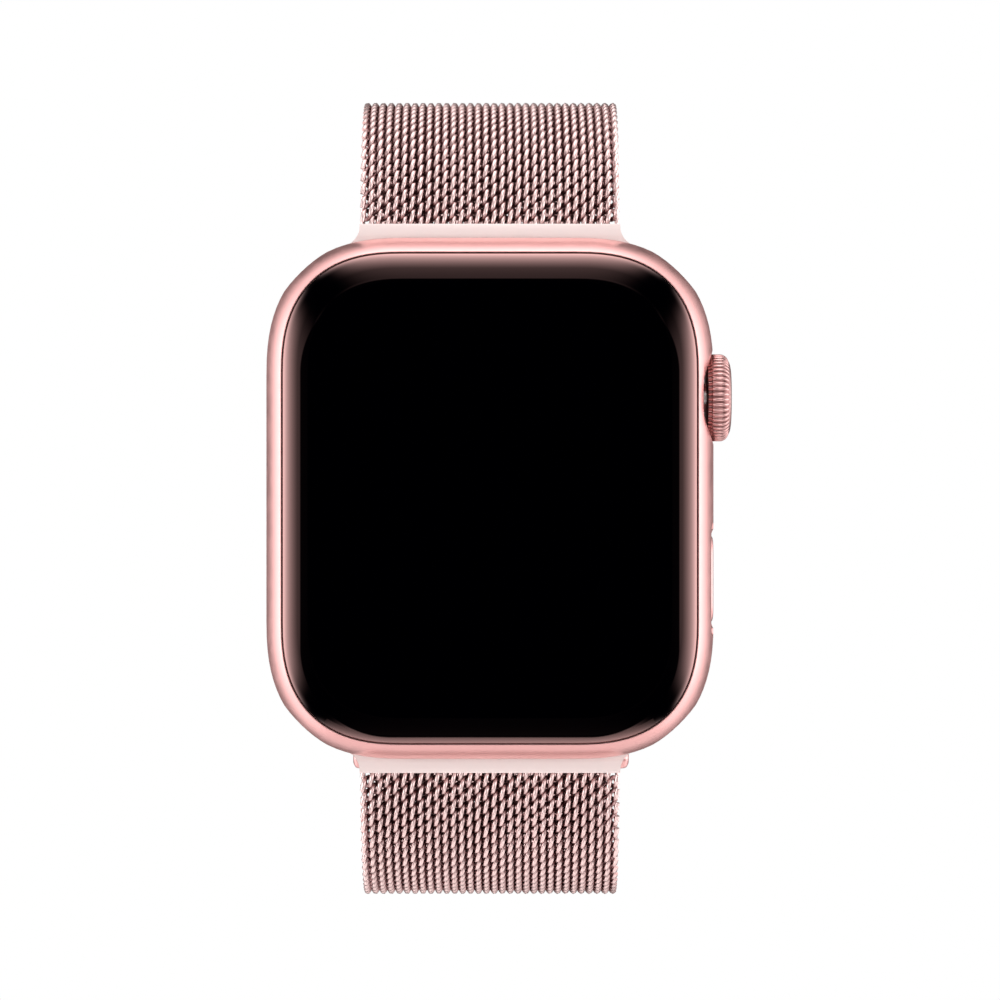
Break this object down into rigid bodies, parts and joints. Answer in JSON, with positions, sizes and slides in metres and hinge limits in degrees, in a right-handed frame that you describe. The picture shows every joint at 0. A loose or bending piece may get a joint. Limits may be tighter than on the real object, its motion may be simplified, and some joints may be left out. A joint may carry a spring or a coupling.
{
  "type": "smartwatch",
  "caption": "Rounded-square smartwatch with a curved-edge black display, turning crown, side button and a closed woven-metal loop band on slide-out lugs.",
  "frame": {"origin": "centre of the rear crystal's flat, where it rests on the wrist", "axes": "+X towards the crown, +Y from the display into the wrist, +Z towards twelve o'clock; the display looks along -Y"},
  "size_m": [0.0393, 0.0585, 0.07],
  "materials": {
    "case_metal": "matte pink anodised",
    "mesh_metal": "pink coated woven wire",
    "glass": "polished, black behind",
    "screen": "unlit display panel",
    "ceramic": "satin black",
    "crystal": "polished, dark behind",
    "rubber": "moulded seal",
    "steel": "plain machined",
    "board": "solder mask",
    "cell": "black wrap",
    "copper": "wound wire",
    "magnet": "nickel plated",
    "plastic": "moulded"
  },
  "bodies": {
    "case": {"case": "case_metal", "front_glass": "glass", "display_panel": "screen", "glass_gasket": "rubber", "battery": "cell", "logic_board": "board", "board_screw_1": "steel", "board_screw_2": "steel", "board_screw_3": "steel", "board_screw_4": "steel", "haptic_motor": "steel", "speaker": "plastic", "system_module": "cell", "microphone": "steel", "rear_cover": "ceramic", "rear_crystal": "crystal", "charging_coil": "copper", "sensor_module": "board", "crown_bush": "plastic", "crown_seal": "rubber", "crown_switch": "plastic", "side_button_switch": "plastic"},
    "crown_slider": {"crown_push_plate": "steel"},
    "crown": {"crown_knob": "case_metal", "crown_shaft": "steel", "crown_electrode": "steel"},
    "side_button": {"side_button": "case_metal"},
    "upper_release": {"upper_release_button": "case_metal"},
    "lower_release": {"lower_release_button": "case_metal"},
    "upper_lug": {"upper_lug": "case_metal"},
    "upper_detent": {"upper_detent_pin": "steel"},
    "upper_arm": {"upper_mesh": "mesh_metal"},
    "rear_link": {"rear_mesh": "mesh_metal", "keeper": "case_metal"},
    "lower_lug": {"lower_lug": "case_metal"},
    "lower_detent": {"lower_detent_pin": "steel"},
    "lower_arm": {"lower_mesh": "mesh_metal"},
    "tail": {"mesh_fold": "mesh_metal", "tail_mesh": "mesh_metal", "clasp_shell": "case_metal", "clasp_magnet": "magnet"}
  },
  "joints": [
    {"name": "crown_press", "type": "slide", "parent": "case", "child": "crown_slider", "axis": [-1, 0, 0], "range_m": [0, 0.0003], "stiffness_N_per_m": 2500, "springref_m": -0.0004},
    {"name": "crown_spin", "type": "hinge", "parent": "crown_slider", "child": "crown", "pos_m": [0.01825, -0.0056, 0.0085], "axis": [1, 0, 0], "continuous": true},
    {"name": "side_button_press", "type": "slide", "parent": "case", "child": "side_button", "axis": [-1, 0, 0], "range_m": [0, 0.00035], "stiffness_N_per_m": 2500, "springref_m": -0.0004},
    {"name": "upper_release_press", "type": "slide", "parent": "case", "child": "upper_release", "axis": [0, -1, 0], "range_m": [0, 0.0005], "stiffness_N_per_m": 1500, "springref_m": -0.0005},
    {"name": "lower_release_press", "type": "slide", "parent": "case", "child": "lower_release", "axis": [0, -1, 0], "range_m": [0, 0.0005], "stiffness_N_per_m": 1500, "springref_m": -0.0005},
    {"name": "upper_lug_slide", "type": "slide", "parent": "case", "child": "upper_lug", "axis": [1, 0, 0], "range_m": [-0.04, 0.04]},
    {"name": "lower_lug_slide", "type": "slide", "parent": "case", "child": "lower_lug", "axis": [1, 0, 0], "range_m": [-0.04, 0.04]},
    {"name": "upper_detent_slide", "type": "slide", "parent": "upper_lug", "child": "upper_detent", "axis": [0, -1, 0], "range_m": [0, 0.00035]},
    {"name": "lower_detent_slide", "type": "slide", "parent": "lower_lug", "child": "lower_detent", "axis": [0, -1, 0], "range_m": [0, 0.00035]},
    {"name": "upper_strap_flex", "type": "hinge", "parent": "upper_lug", "child": "upper_arm", "pos_m": [0, -0.00539, 0.02448], "axis": [1, 0, 0], "range_deg": [-15, 15]},
    {"name": "rear_strap_flex", "type": "hinge", "parent": "upper_arm", "child": "rear_link", "pos_m": [0, 0.03499, 0.02448], "axis": [1, 0, 0], "range_deg": [-15, 15]},
    {"name": "lower_strap_flex", "type": "hinge", "parent": "lower_lug", "child": "lower_arm", "pos_m": [0, -0.00539, -0.02448], "axis": [1, 0, 0], "range_deg": [-15, 15]},
    {"name": "tail_peel", "type": "hinge", "parent": "lower_arm", "child": "tail", "pos_m": [0, 0.03499, -0.02448], "axis": [1, 0, 0], "range_deg": [0, 100], "deforming": ["mesh_fold"]}
  ],
  "couplings": [
    {"joint": "lower_lug_slide", "follows": "upper_lug_slide", "ratio": 1},
    {"joint": "upper_detent_slide", "follows": "upper_release_press", "ratio": 0.7},
    {"joint": "lower_detent_slide", "follows": "lower_release_press", "ratio": 0.7},
    {"joint": "rear_strap_flex", "follows": "upper_strap_flex", "ratio": -1},
    {"joint": "lower_strap_flex", "follows": "upper_strap_flex", "ratio": 1}
  ]
}
